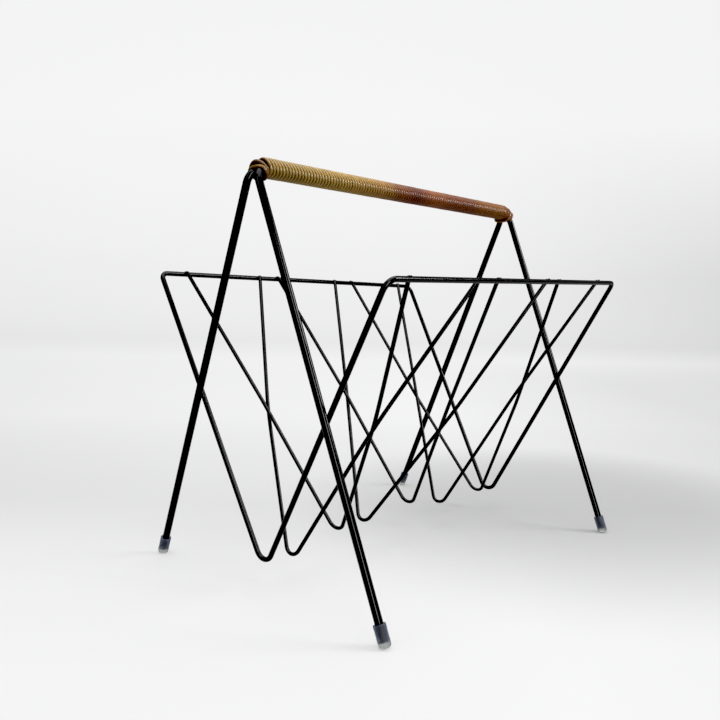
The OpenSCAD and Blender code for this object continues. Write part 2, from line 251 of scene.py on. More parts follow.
speck_mask = put(
    lacquer, "MapRange", {"Value": speck.outputs["Fac"], "From Min": 0.69, "From Max": 0.72}
)
rare = put(lacquer, "MapRange", {"Value": cloud.outputs["Fac"], "From Min": 0.56, "From Max": 0.62})
chip = put(lacquer, "Math", {0: speck_mask.outputs[0], 1: rare.outputs[0]}, operation="MULTIPLY")
chipped = put(
    lacquer, "Math", {0: chip.outputs[0], 1: lac_in.outputs["Chips"]}, operation="MULTIPLY"
)
tint = put(lacquer, "MapRange", {"Value": cloud.outputs["Fac"], "To Min": 0.6, "To Max": 1.5})
shade = put(
    lacquer, "VectorMath", {0: lac_in.outputs["Paint"], "Scale": tint.outputs[0]}, operation="SCALE"
)
rubbed_film, bare_steel = (0.035, 0.034, 0.033, 1), (0.10, 0.095, 0.09, 1)
haze = mix_colours(lacquer, rub.outputs[0], shade.outputs[0], rubbed_film)
worn = mix_colours(lacquer, chipped.outputs[0], haze, lac_in.outputs["Bare"])
lacquer.links.new(worn, lac_out.inputs["Colour"])
gloss = put(lacquer, "MapRange", {"Value": cloud.outputs["Fac"], "From Min": 0.3, "From Max": 0.75,
                                  "To Min": 0.12, "To Max": 0.24})
duller = put(
    lacquer, "Math", {0: rub.outputs[0], 1: 0.22, 2: gloss.outputs[0]}, operation="MULTIPLY_ADD"
)
rough = put(
    lacquer, "Math", {0: chipped.outputs[0], 1: 0.3, 2: duller.outputs[0]}, operation="MULTIPLY_ADD"
)
lacquer.links.new(rough.outputs[0], lac_out.inputs["Roughness"])
pitted = put(
    lacquer,
    "Math",
    {0: chipped.outputs[0], 1: -0.8, 2: peel.outputs["Fac"]},
    operation="MULTIPLY_ADD",
)
lacquer.links.new(pitted.outputs[0], lac_out.inputs["Height"])


def lacquered(name, peel_scale, rub, chips, paint=(0.0055, 0.0055, 0.006, 1), bump=0.05):
    """A black lacquer material with its own amounts of peel, rubbing and chips."""
    made, tree, shader = new_material(name)
    amounts = {
        "Peel scale": peel_scale, "Rub": rub, "Chips": chips, "Paint": paint, "Bare": bare_steel
    }
    film = put(tree, "Group", amounts, node_tree=lacquer).outputs
    surface(tree, shader, film["Colour"], film["Roughness"], film["Height"], bump, 0.0006)
    shader.inputs["IOR"].default_value = 1.5
    shader.inputs["Specular IOR Level"].default_value = 0.26
    return made


rod_lacquer = lacquered("rod_lacquer", 950, 0.5, 0.5)
leg_low = {}
for side, row in ((-1, "front"), (1, "back")):
    tops = [np.array([e * handle_length / 2, side * rod_y, handle_height]) for e in (-1, 1)]
    feet = [np.array([foot_x[e, side], side * foot_width / 2, 0]) for e in (-1, 1)]
    for e, top, foot in zip((-1, 1), tops, feet):
        leg_low[e, side] = (foot, unit(top - foot))
    ends = [
        foot + unit(top - foot) * leg_end_z / unit(top - foot)[2] for top, foot in zip(tops, feet)
    ]
    route = bent_route([ends[0], *tops, ends[1]], [0, elbow_r, elbow_r, 0], ring_gap)
    lean = unit(np.cross(tops[1] - tops[0], ends[0] - tops[0]))
    rings = rounded_ends(rod_rings(route, lean, leg_d, rod_sides), leg_d, cut_edge)
    rod = skin(f"rod_{row}", rings)
    rod.data.materials.append(rod_lacquer)
    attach(rod, "root")
    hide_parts(f"frame_{row}")

# ------------------------------------------------------------------ the basket's rim
# The rim is one 4.4 mm rod bent into a closed loop: a rail along the front, a rail along the
# back, and at each end two arms that run down to a tight bend near the floor.
rim_d, rim_low_shift = 4.4, 1.2
rim_half_length, rim_half_width = 180, 131.65
rim_height = {(-1, 1): 257.8, (-1, -1): 252.3, (1, -1): 259.3, (1, 1): 254.4}
rim_corner = {
    (end, side): np.array([end * rim_half_length, side * rim_half_width, z])
    for (end, side), z in rim_height.items()
}
rim_low = {-1: np.array([-168.8, rim_low_shift, 15.7]), 1: np.array([168.8, rim_low_shift, 12.7])}
rim_bends = [  # corner, and radius of the bend there
    (rim_corner[-1, 1], 6), (rim_low[-1], 9.5), (rim_corner[-1, -1], 9),
    (rim_corner[1, -1], 6), (rim_low[1], 9.5), (rim_corner[1, 1], 8),
]
rim_route = bent_route(*zip(*rim_bends), 8, loop=True)
rim = skin("rim_loop", rod_rings(rim_route, [0, 0, 1], rim_d, 28), loop=True)
rim.data.materials.append(lacquered("rim_lacquer", 1200, 0.9, 0.8))
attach(rim, "root")
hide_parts("basket_rim")

# ------------------------------------------------------------------ the six basket wires
# Each is a 3.4 mm wire bent to a V. Its two tips lie on the rails and stand a little past them.
# Neighbours lean opposite ways and are sprung apart where their arms cross.
wire_d, wire_nub, tip_round = 3.4, 0.5, 0.9
knee_r, low_r = 400, 8.5  # radii of the bow in each arm and of the low bend
arm_top, arm_drop = 256, 236  # height of an arm's top, and how far it falls to its low bend
rail_gap = (rim_d + wire_d) / 2 + 0.05
rail_dir = {s: unit(rim_corner[1, s] - rim_corner[-1, s]) for s in (-1, 1)}
wire_sizes = {  # top, skew, low, height of the low bend, bow of the back arm, bow of the front arm
    1: (-66.1, -1.9, -142.4, 13.4, -5.7, -11.5),
    2: (-153.7, -1.2, -82.1, 23.4, 1.3, 7.9),
    3: (43.6, -3.0, -54.0, 23.8, 3.8, 4.1),
    4: (-40.1, -3.9, 21.3, 26.9, 0.5, 2.0),
    5: (150.9, 1.3, 66.9, 15.8, -3.3, 0.5),
    6: (67.8, 0.0, 147.5, 16.5, 0.5, 0.5),
}
inner_wires, wire_partner = (2, 4, 5), {1: 2, 2: 1, 3: 4, 4: 3, 5: 6, 6: 5}
arm_slope = np.sin(np.arctan(rim_half_width / arm_top))
off_arm = {s: unit([0, s * arm_drop, -rim_half_width]) for s in (-1, 1)}  # square to each arm
spring, wire_clear = 0.85, 0.1  # share of the gap that each wire gives, and the air left in it
wire_lacquer = lacquered("wire_lacquer", 1400, 0.6, 0.7)
wire_on_rail, wire_run = {}, {}
for number, (top, skew, low, low_z, bow_back, bow_front) in wire_sizes.items():
    inside = number if number in inner_wires else wire_partner[number]
    spare = 0.5 * (wire_sizes[inside][3] - wire_sizes[wire_partner[inside]][3]) * arm_slope
    inwards = -1 if number in inner_wires else 1
    apart = max(0, wire_d + wire_clear - spare) * spring * inwards
    bottom = np.array([low, 0, low_z])
    corners = {}
    for s, bow in ((1, bow_back), (-1, bow_front)):
        from_end = rim_half_length + top + s * skew
        on_rail = rim_corner[-1, s] + rail_dir[s] * from_end / rail_dir[s][0]
        tip = on_rail
        for _ in range(6):  # the tip and the knee settle against each other
            knee = (tip + bottom) / 2 + [bow, 0, 0] + off_arm[s] * apart
            run = unit(knee - tip)
            out = unit(np.cross(rail_dir[s], run))
            tip = on_rail + out * np.sign(out[2]) * rail_gap
        knee = (tip + bottom) / 2 + [bow, 0, 0] + off_arm[s] * apart
        run = unit(knee - tip)
        wire_on_rail[number, s], wire_run[number, s] = tip, run
        corners[s] = (tip - run * (wire_nub - tip_round), knee)
    route = bent_route([*corners[1], bottom, *corners[-1][::-1]], [0, knee_r, low_r, knee_r, 0], 7)
    rings = rounded_ends(rod_rings(route, [1, 0, 0], wire_d, 24), wire_d, tip_round)
    wire = skin(f"basket_wire_{number}", rings)
    wire.data.materials.append(wire_lacquer)
    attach(wire, "root")
    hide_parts(f"wire_{number}")

# ------------------------------------------------------------------ the welds
# Where two rods cross, the metal is run together in a small spool with a hollow waist. There are
# four where the legs cross the rim and twelve where the wires lie on the rails.
weld_lacquer = lacquered("weld_lacquer", 700, 0.2, 0.5, bump=0.16)
leg_reach, wire_reach, lump = 2.8, 2.1, 0.055
waist, tuck, most_round = 0.34, 0.86, 0.93  # how far in, how deep inside, how far round the rod


def nearest(p, u, q, v):
    """The point of the line through p along u that comes nearest to the line through q along v."""
    b = u @ v
    return p + u * (((q - p) @ u - ((q - p) @ v) * b) / (1 - b * b))


def weld_spool(name, p, u, dp, q, v, dq, reach):
    """A spool of metal between two crossing rods, closed at both ends inside them.

    With n from one rod's middle line to the other's, the spool at angle t leaves the first rod
    where it is about `reach` away from n, uneven by a sine of 2 t, and meets the second rod at
    the same angle. At a share f of the way the outline is drawn in by waist times sin(pi f).
    """
    a, b = nearest(p, u, q, v), nearest(q, v, p, u)
    n = unit(b - a)
    x, y = u, np.cross(n, u)
    t = np.linspace(0, 2 * np.pi, 36, endpoint=False)
    flat = np.cos(t)[:, None] * x + np.sin(t)[:, None] * y
    rings = []
    uneven = reach * (1 + lump * np.sin(2 * t + 0.7))
    slant = [flat @ np.cross(n, along) for along in (u, v)]
    near = [
        np.minimum(uneven, most_round * d / 2 / np.maximum(1e-6, np.abs(off)))
        for d, off in zip((dp, dq), slant)
    ]
    on_first, on_second = (
        np.sqrt((d / 2) ** 2 - (r * off) ** 2) for d, r, off in zip((dp, dq), near, slant)
    )
    gap = np.linalg.norm(b - a)
    for share in np.linspace(0, 1, 9):
        wide = near[0] * (1 - share) + near[1] * share
        high = on_first * (1 - share) + (gap - on_second) * share
        neck = 1 - waist * np.sin(np.pi * share)
        rings.append(a + flat * (wide * neck)[:, None] + n * high[:, None])
    rings = np.array(rings)
    inside_first = a + (rings[0] - a) * tuck
    inside_second = b + (rings[-1] - b) * tuck
    rings = np.concatenate([inside_first[None], rings, inside_second[None]])
    piece = skin(name, rings)
    piece.data.materials.append(weld_lacquer)
    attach(piece, "root")
    return piece


for (end, side), (foot, leg_dir) in leg_low.items():
    row, hand = ("back" if side > 0 else "front"), ("right" if end > 0 else "left")
    corner = rim_corner[end, side]
    arm = unit(rim_low[end] - corner)
    spool = weld_spool(
        f"leg_spool_{row}_{hand}", foot, leg_dir, leg_d, corner, arm, rim_d, leg_reach
    )
    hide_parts(f"weld_leg_{row}_{hand}")
for number, s in wire_on_rail:
    row = "back" if s > 0 else "front"
    spool = weld_spool(f"wire_spool_{number}_{row}", rim_corner[-1, s], rail_dir[s], rim_d,
                       wire_on_rail[number, s], wire_run[number, s], wire_d, wire_reach)
    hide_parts(f"weld_{number}_{row}")

# ------------------------------------------------------------------ the packing strip
# A round strip of dark red plastic lies in the groove on top of the two handle rods. It fills
# out the grip under the binding, and its two ends follow the rods a little way round the elbows.
core_d = 4.6
most_inward = max(-end * leg_dir[0] for (end, _), (_, leg_dir) in leg_low.items())
run_half = handle_length / 2 - elbow_r * np.tan(np.arccos(most_inward) / 2)
leg_lean = np.arctan((foot_width / 2 - rod_y) / handle_height)
packing_left, packing_right = np.radians(33), np.radians(55)
blunt, even, elbow_fill, left_pull = 2.7, 2.0, 20, 1.3  # the binding's outside at the elbows


def handle_axis(w):
    """The middle line of the handle at distance w along it, with its upward direction and the
    half distance between the two rods. Past the straight run it turns down at the elbow: at angle
    a the line has moved out by r sin a and dropped by r (1 - cos a) along the leaning legs."""
    a = np.maximum(0, np.abs(w) - run_half) / elbow_r
    e = np.sign(w)
    drop = elbow_r * (1 - np.cos(a))
    middle = np.stack([np.clip(w, -run_half, run_half) + e * elbow_r * np.sin(a), 0 * w,
                       handle_height - drop * np.cos(leg_lean)], -1)
    up = unit(np.stack([e * np.sin(a) * np.cos(leg_lean), 0 * w, np.cos(a)], -1))
    return middle, up, rod_y + drop * np.sin(leg_lean)


def groove_height(half):
    """How high the packing strip's middle lies above the rods: the third side of the triangle
    whose long side is the two radii together and whose short side is half the rods' distance."""
    reach = (leg_d + core_d) / 2 + 0.05
    return np.sqrt(np.maximum(0.3, reach**2 - half**2))


def corner_fill(w):
    """How far the binding stands out at an elbow past a round bend. The right end is blunt: at
    angle a its outside keeps to a rounded square, 1 / (cos a ^ p + sin a ^ p) ^ (1 / p). The left
    end is round, and is pulled in by left_pull times sin a."""
    a = np.maximum(0, np.abs(w) - run_half) / elbow_r
    p = np.where(w > 0, blunt, even)
    square = (np.abs(np.cos(a)) ** p + np.abs(np.sin(a)) ** p) ** (-1 / p)
    return elbow_fill * (square - 1) - np.where(w < 0, left_pull * np.sin(a), 0)


def wound_map(rings):
    """Two numbers for each point of a strand's rings: how far round it is, from 0 to 1, and how
    far along in metres, which adds up the distances between the rings' middles."""
    spans = np.linalg.norm(np.diff(rings.mean(1), axis=0), axis=1)
    along = np.concatenate([[0], np.cumsum(spans)])[:, None] * MM
    round_it = np.linspace(0, 1, rings.shape[1], endpoint=False)[None]
    return np.stack(np.broadcast_arrays(round_it, along), -1)


w = np.concatenate([
    np.linspace(-run_half - elbow_r * packing_left, -run_half, 12),
    np.linspace(-run_half, run_half, 60)[1:-1],
    np.linspace(run_half, run_half + elbow_r * packing_right, 20),
])
middle, up, half = handle_axis(w)
points = middle + up * (groove_height(half) + corner_fill(w))[:, None]
dirs = unit(np.gradient(points, axis=0))
strip_route = [points, dirs, np.zeros(len(w)), np.cross(dirs, [0, 1, 0])]
strip_rings = rounded_ends(rod_rings(strip_route, [0, 1, 0], core_d, 20), core_d, 1.2)
packing = skin("handle_packing", strip_rings, uv=wound_map(strip_rings))

# The skin of the plastic: fine drawn lines along its length, blotches of faded dye, and a
# darkening: even grime on the packing strip, painted shade where the cord's strands touch.
strand, str_in, str_out = new_group(
    "Drawn plastic",
    {"Dye": "Color", "Grime and shade": "Float", "Line depth": "Float"},
    {"Colour": "Color", "Roughness": "Float", "Height": "Float"},
)
wound = put(strand, "UVMap", uv_map="Wound").outputs["UV"]
drawn = put(strand, "Mapping", {"Vector": wound, "Scale": (26, 55, 1)})
lines = put(
    strand, "TexNoise", {"Vector": drawn.outputs[0], "Scale": 1.0, "Detail": 3, "Roughness": 0.6}
)
spot_place = put(strand, "TexCoord").outputs["Object"]
blotch = put(
    strand, "TexNoise", {"Vector": spot_place, "Scale": 140, "Detail": 4, "Roughness": 0.6}
)
fine = put(strand, "TexNoise", {"Vector": spot_place, "Scale": 1500, "Detail": 2})
vary = put(strand, "MapRange", {"Value": blotch.outputs["Fac"], "From Min": 0.25, "From Max": 0.75,
                                "To Min": 0.78, "To Max": 1.2})
streak = put(strand, "MapRange", {"Value": lines.outputs["Fac"], "From Min": 0.25, "From Max": 0.75,
                                  "To Min": 0.88, "To Max": 1.1})
both = put(strand, "Math", {0: vary.outputs[0], 1: streak.outputs[0]}, operation="MULTIPLY")
dyed = put(
    strand, "VectorMath", {0: str_in.outputs["Dye"], "Scale": both.outputs[0]}, operation="SCALE"
)
# The darkening colour: even grime on the packing strip, painted shade in the cord's crevices.
grime_and_shade_colour = (0.035, 0.014, 0.006, 1)
grimed_and_shaded = mix_colours(strand, str_in.outputs["Grime and shade"], dyed.outputs[0], grime_and_shade_colour)
strand.links.new(grimed_and_shaded, str_out.inputs["Colour"])
sheen = put(strand, "MapRange", {"Value": blotch.outputs["Fac"], "From Min": 0.3, "From Max": 0.7,
                                 "To Min": 0.24, "To Max": 0.4})
dull = put(
    strand,
    "Math",
    {0: str_in.outputs["Grime and shade"], 1: 0.35, 2: sheen.outputs[0]},
    operation="MULTIPLY_ADD",
)
strand.links.new(dull.outputs[0], str_out.inputs["Roughness"])
ridge = put(
    strand, "Math", {0: lines.outputs["Fac"], 1: str_in.outputs["Line depth"]}, operation="MULTIPLY"
)
grit = put(
    strand, "Math", {0: fine.outputs["Fac"], 1: 0.15, 2: ridge.outputs[0]}, operation="MULTIPLY_ADD"
)
strand.links.new(grit.outputs[0], str_out.inputs["Height"])

packing_dye, tree, shader = new_material("packing")
dark_red = {"Dye": (0.075, 0.016, 0.010, 1), "Grime and shade": 0.1, "Line depth": 0.6}
face = put(tree, "Group", dark_red, node_tree=strand).outputs
surface(tree, shader, face["Colour"], face["Roughness"], face["Height"], 0.3, 0.0004)
packing.data.materials.append(packing_dye)
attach(packing, "root")
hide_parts("handle_core")

# ------------------------------------------------------------------ the cord binding
# One 3.3 mm plastic cord is wound close round both rods and the packing strip, 110 turns. It
# carries on round each elbow for about three turns, and its right end sticks out.
cord_d, pitch = 3.3, 3.34
cord_left, cord_right = np.radians(47), np.radians(61)
cord_start = -run_half - elbow_r * cord_left
cord_stop = cord_start + pitch * round((run_half + elbow_r * cord_right - cord_start) / pitch)
steps_per_turn, cord_sides = 46, 12
sunk = 0.6  # how far the cord is pressed into what it is wound on
# Where along the handle the first turn is tight and the next is slack, over what length, and how
# far each is shifted. Then how far the cord's end sticks out and lifts.
tight_at, tight_over, tight_shift, tight_in = -179.4, 1.2, 0.6, 0.5
slack_at, slack_over, slack_shift = -178.1, 1.5, 1.6
tail_out, tail_lift, tail_rows = 5.2, 1.6, 8
theta = np.arange(0, (cord_stop - cord_start) / pitch, 1 / steps_per_turn) * 2 * np.pi


def taut_outline(angle, bars, sharp=1.1):
    """The path of a taut cord round a set of round bars, by the direction it faces.

    A bar at (y, z) of radius r reaches y cos + z sin + r in that direction. The outline's reach h
    is the smooth maximum of them all, and its point is h times the direction plus h' times the
    direction square to it.
    """
    c, s = np.cos(angle), np.sin(angle)
    reaches = np.stack([y * c + z * s + r for y, z, r in bars])
    slopes = np.stack([z * c - y * s for y, z, r in bars])
    top = reaches.max(0)
    share = np.exp(sharp * (reaches - top))
    total = share.sum(0)
    h = top + np.log(total) / sharp
    slope = (share * slopes).sum(0) / total
    return h * c - slope * s, h * s + slope * c


def hand_wobble(t, size, *rates):
    """A smooth unevenness of the given size: a sum of sines at rates that never line up."""
    return size * sum(np.sin(rate * t + 1.7 * k) for k, rate in enumerate(rates)) / len(rates)


w = cord_start + pitch * theta / (2 * np.pi)
first_turn = np.clip((tight_at - w) / tight_over, 0, 1)  # outermost at the left, pulled in tight
loose = slack_shift * np.exp(-(((w - slack_at) / slack_over) ** 2))  # beside it, slipped outwards
middle, up, half = handle_axis(w - loose + tight_shift * first_turn)
past = np.maximum(0, np.abs(w) - run_half) / elbow_r
over_packing = np.where(w < 0, past < packing_left - 0.12, past < packing_right - 0.05)
strip_z = np.where(over_packing, groove_height(half), -1.0)
spread = half + 0.35 * np.sin(past)
thick = cord_d / 2 - sunk - tight_in * first_turn
facing = theta - np.pi / 2
bars = [
    (spread, 0 * w, leg_d / 2 + thick),
    (-spread, 0 * w, leg_d / 2 + thick),
    (0 * w, strip_z, core_d / 2 + thick),
]
y, z = taut_outline(facing, bars)
z = z + corner_fill(w) * np.clip(np.sin(facing), 0, 1)
across = np.array([0.0, 1.0, 0.0])
away = np.cos(facing)[:, None] * across + np.sin(facing)[:, None] * up
under = np.clip(-np.sin(facing), 0, 1) ** 2
layer = np.floor((theta + np.pi) / (2 * np.pi)) % 2
bulge = under * layer * np.where(w > 0, 0.85, 0.6) * cord_d * np.clip(past / 0.35, 0, 1)
line = middle + y[:, None] * across + z[:, None] * up + away * bulge[:, None]
line[:, 0] += hand_wobble(theta, 0.16, 0.083, 0.031, 0.211) * np.clip(1 - past, 0, 1)
line += away * hand_wobble(theta, 0.07, 0.057, 0.173, 0.119)[:, None]
tail_dir = unit(line[-1] - line[-2])
tail = np.linspace(0, 1, tail_rows + 1)[1:, None]
line = np.vstack([line, line[-1] + tail_dir * tail * tail_out + away[-1] * tail**2 * tail_lift])
away = np.vstack([away, np.repeat(away[-1][None], tail_rows, 0)])
dirs = unit(np.gradient(line, axis=0))
outward = unit(away - dirs * np.sum(away * dirs, 1)[:, None])
sideways = np.cross(dirs, outward)
t = np.linspace(0, 2 * np.pi, cord_sides, endpoint=False)
radius = cord_d / 2 * (1 + hand_wobble(np.arange(len(line)) * 0.13, 0.02, 0.9, 0.37, 0.11))
cord_rings = line[:, None] + radius[:, None, None] * (
    np.cos(t)[None, :, None] * outward[:, None] + np.sin(t)[None, :, None] * sideways[:, None])
cord_rings = rounded_ends(cord_rings, cord_d, 0.5)
dye_span, end_rows = 380, 5  # length in mm that the dyes cover, and rows that round the cord's end
wound_at = np.interp(np.arange(len(cord_rings)) - end_rows, np.arange(len(w)), w)
shares = {
    "face_out": np.broadcast_to(np.cos(t)[None], cord_rings.shape[:2]),
    "handle_share": np.broadcast_to(wound_at[:, None] / dye_span + 0.5, cord_rings.shape[:2]),
}
binding = skin("handle_binding", cord_rings, uv=wound_map(cord_rings), values=shares)


def set_stops(node, stops):
    """Gives a colour ramp its stops, as place from 0 to 1 and colour, in rising order."""
    elements = node.color_ramp.elements
    while len(elements) < len(stops):
        elements.new(0.5)
    for element, (at, colour) in zip(elements, sorted(stops.items())):
        element.position, element.color = at, (*colour, 1)


cord_dye, tree, shader = new_material("cord")
handle_share = put(tree, "Attribute", attribute_name="handle_share").outputs["Fac"]
dyes = put(tree, "ValToRGB", {"Fac": handle_share})
stops = {  # place along the handle in millimetres: colour of the cord there
    -184.0: (0.50, 0.30, 0.08), -180.5: (0.50, 0.30, 0.08), -179.7: (0.09, 0.018, 0.009),
    -177.1: (0.09, 0.018, 0.009), -176.3: (0.44, 0.263, 0.056), -150: (0.44, 0.28, 0.06),
    -97: (0.51, 0.317, 0.07), -70: (0.50, 0.30, 0.066), -32: (0.43, 0.215, 0.045),
    -16: (0.27, 0.088, 0.018), 2: (0.21, 0.048, 0.012), 13: (0.15, 0.026, 0.009),
    26: (0.27, 0.066, 0.014), 44: (0.35, 0.105, 0.022), 68: (0.235, 0.06, 0.0133),
    104: (0.206, 0.05, 0.0085), 124: (0.28, 0.095, 0.011), 170: (0.283, 0.106, 0.012),
    190: (0.25, 0.068, 0.013),
}
set_stops(dyes, {at / dye_span + 0.5: colour for at, colour in stops.items()})
face_out = put(tree, "Attribute", attribute_name="face_out").outputs["Fac"]
# Painted shade: the cord darkens as its surface turns in towards its neighbours and the rods.
crevice_shade = put(tree, "MapRange", {"Value": face_out, "From Min": 0.97, "From Max": 0.35,
                                 "To Min": 0.0, "To Max": 0.88})
dye_with_crevice_shade = {"Dye": dyes.outputs["Color"], "Grime and shade": crevice_shade.outputs[0], "Line depth": 0.5}
face = put(tree, "Group", dye_with_crevice_shade, node_tree=strand).outputs
surface(tree, shader, face["Colour"], face["Roughness"], face["Height"], 0.22, 0.0004)
shader.inputs["Specular IOR Level"].default_value = 0.3
shader.inputs["Coat Weight"].default_value = 0.3
shader.inputs["Coat Roughness"].default_value = 0.12
binding.data.materials.append(cord_dye)
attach(binding, "root")
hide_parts("handle_wrap")

# ------------------------------------------------------------------ the foot caps
# Four soft vinyl caps, cloudy blue-grey and see-through, are pushed over the ends of the legs.
# Each is a thick tube with a lip at its mouth and a rounded end, pressed flat by the weight.
cap_d, cap_length, cap_bore = 9.2, 17.0, 3.25
floor_z, floor_soft = 0.6, 0.3  # height below which a cap is pressed, and how softly
vinyl, tree, shader = new_material("cap")
place = put(tree, "TexCoord").outputs["Object"]
milky = put(tree, "TexNoise", {"Vector": place, "Scale": 160, "Detail": 4, "Roughness": 0.6})
scuff = put(tree, "TexNoise", {"Vector": place, "Scale": 900, "Detail": 3})
height = put(tree, "SeparateXYZ", {"Vector": place})
low_part = put(
    tree, "MapRange", {"Value": height.outputs["Z"], "From Min": 0.0055, "From Max": 0.001}
)
tone = put(tree, "ValToRGB", {"Fac": milky.outputs["Fac"]})
set_stops(tone, {0.3: (0.20, 0.235, 0.33), 0.75: (0.27, 0.30, 0.39)})
# The tone turns pale towards the cap's pressed end.
paler_towards_end = mix_colours(tree, low_part.outputs[0], tone.outputs["Color"], (0.78, 0.78, 0.68, 1))
matt = put(tree, "MapRange", {"Value": scuff.outputs["Fac"], "From Min": 0.3, "From Max": 0.7,
                              "To Min": 0.46, "To Max": 0.6})
surface(tree, shader, paler_towards_end, matt.outputs[0], scuff.outputs["Fac"], 0.04, 0.0004)
shader.inputs["IOR"].default_value = 1.45
shader.inputs["Specular IOR Level"].default_value = 0.15
shader.inputs["Transmission Weight"].default_value = 0.93


def cap_rings(foot, leg_dir):
    """Rings of a cap turned round its leg: a profile of (distance from the leg's line, distance
    up the leg) goes up the bore, over the lip, down the outside and in under the round end. What
    would lie below the floor is pressed flat on it: height z becomes s log(1 + e ^ (z / s))."""
    a = np.linspace(0, np.pi, 9)
    b = np.linspace(0, np.pi / 2, 9)
    lip = (cap_d / 2 - cap_bore) / 2
    bore = np.stack([np.array([0.4, 2.2, cap_bore - 0.3, cap_bore, cap_bore, cap_bore]),
                     np.array([4.9, 4.9, 4.95, 5.3, 10.0, 14.5])], -1)
    lip_out = cap_bore + lip - lip * np.cos(a) + 0.12 * np.sin(a / 2)
    over = np.stack([lip_out, cap_length - lip + lip * np.sin(a)], -1)
    wall_out = cap_d / 2 + np.array([0.05, 0.0, 0.0, 0.06])
    wall = np.stack([wall_out, np.array([14.6, 12.0, 8.0, 5.0])], -1)
    end_r, end_z = 2.5, 0.5
    under_out = wall_out[-1] - end_r + end_r * np.cos(b)
    under = np.stack([under_out, end_z + end_r - end_r * np.sin(b)], -1)
    base = np.array([[1.2, 0.42], [0.3, 0.4]])
    profile = np.concatenate([bore, over, wall, under, base])
    t = np.linspace(0, 2 * np.pi, 40, endpoint=False)
    out = unit(np.cross(leg_dir, [1, 0, 0]))
    x = np.cross(leg_dir, out)
    turned = np.cos(t)[:, None] * out + np.sin(t)[:, None] * x
    rings = foot + profile[:, None, :1] * turned[None] + profile[:, None, 1:] * leg_dir
    z = rings[..., 2]
    rings[..., 2] = np.where(z < floor_z, floor_soft * np.logaddexp(0, z / floor_soft), z)
    return rings


for (end, side), (foot, leg_dir) in leg_low.items():
    row, hand = ("back" if side > 0 else "front"), ("right" if end > 0 else "left")
    cap = skin(f"vinyl_cap_{row}_{hand}", cap_rings(foot, leg_dir))
    cap.data.materials.append(vinyl)
    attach(cap, "root")
    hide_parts(f"cap_{row}_{hand}")

# ------------------------------------------------------------------ the floor and the light
# A pale seamless floor sweeps up into a wall behind the rack. Soft boxes light it from above, the
# left and the front right, and a narrow one draws the bright line down the lacquered rods.
yaw, pitch_down, roll = 0.8420787, 0.0860604, 0.0197634
ahead = np.array([np.sin(yaw), np.cos(yaw), 0])
right = np.array([np.cos(yaw), -np.sin(yaw), 0])
floor_rows = [-3200, -1500, 0, 1500, 2600]
sweep_at, sweep_r, wall_top, half_wide = 3200, 1400, 4200, 5000
a = np.linspace(0, np.pi / 2, 24)  # angle up the curve from the floor into the wall
depth = np.concatenate([floor_rows, sweep_at + sweep_r * np.sin(a), [sweep_at + sweep_r]])
rise = np.concatenate([np.zeros(len(floor_rows)), sweep_r - sweep_r * np.cos(a), [wall_top]])
sweep = depth[:, None, None] * ahead + rise[:, None, None] * np.array([0, 0, 1])
sweep = sweep + np.linspace(-half_wide, half_wide, 11)[None, :, None] * right
n, m = sweep.shape[:2]
i, j = np.arange(n - 1)[:, None], np.arange(m - 1)[None]
k, l = i + 1, j + 1
cells = np.stack([i * m + j, i * m + l, k * m + l, k * m + j], -1).reshape(-1, 4)
mesh = bpy.data.meshes.new("backdrop")
mesh.from_pydata((sweep.reshape(-1, 3) * MM).tolist(), [], cells.tolist())
mesh.polygons.foreach_set("use_smooth", np.ones(len(cells), bool))
backdrop = bpy.data.objects.new("backdrop", mesh)
bpy.context.scene.collection.objects.link(backdrop)
paper, tree, shader = new_material("backdrop_paper")
spot = put(tree, "TexCoord").outputs["Object"]
grain = put(tree, "TexNoise", {"Vector": spot, "Scale": 3, "Detail": 3})
tone = put(tree, "ValToRGB", {"Fac": grain.outputs["Fac"]})
set_stops(tone, {0.0: (0.325,) * 3, 1.0: (0.35,) * 3})
# Painted light is added by depth behind the rack, dipping in a band of painted shade behind it,
# and painted shade dims it to the right, near by and far off.
back = put(tree, "VectorMath", {0: spot, 1: tuple(ahead)}, operation="DOT_PRODUCT")
glow_from, glow_to = -0.5, 4.5
back_share = put(
    tree, "MapRange", {"Value": back.outputs["Value"], "From Min": glow_from, "From Max": glow_to}
)
glow = put(tree, "ValToRGB", {"Fac": back_share.outputs[0]})
# Brightness of the painted light by depth; its dip just behind the rack is a painted shadow band.
glow_stops = {  # metres behind the rack's middle: tone
    -0.5: 0.525, -0.21: 0.525, -0.14: 0.515, -0.055: 0.485, 0.03: 0.43, 0.12: 0.398,
    0.36: 0.43, 0.71: 0.54, 2.07: 0.735, 3.3: 0.76, 4.4: 0.83,
}
reach = glow_to - glow_from
set_stops(glow, {(at - glow_from) / reach: (value,) * 3 for at, value in glow_stops.items()})
aside = put(tree, "VectorMath", {0: spot, 1: tuple(right)}, operation="DOT_PRODUCT")
near_dim = put(tree, "MapRange", {"Value": aside.outputs["Value"], "From Min": 0.1, "From Max": 0.7,
                                  "To Min": 0.0, "To Max": 0.38})
near_only = put(
    tree, "MapRange", {"Value": back.outputs["Value"], "From Min": 2.2, "From Max": 0.5}
)
far_dim = put(tree, "MapRange", {"Value": aside.outputs["Value"], "From Min": 0.6, "From Max": 2.6,
                                 "To Min": 0.08, "To Max": 0.25})
spot_z = put(tree, "SeparateXYZ", {"Vector": spot}).outputs["Z"]
low_wall = put(tree, "MapRange", {"Value": spot_z, "From Min": 1.5, "From Max": 0.4})
near_part = put(
    tree, "Math", {0: near_dim.outputs[0], 1: near_only.outputs[0]}, operation="MULTIPLY"
)
far_part = put(
    tree,
    "Math",
    {0: far_dim.outputs[0], 1: low_wall.outputs[0], 2: near_part.outputs[0]},
    operation="MULTIPLY_ADD",
)
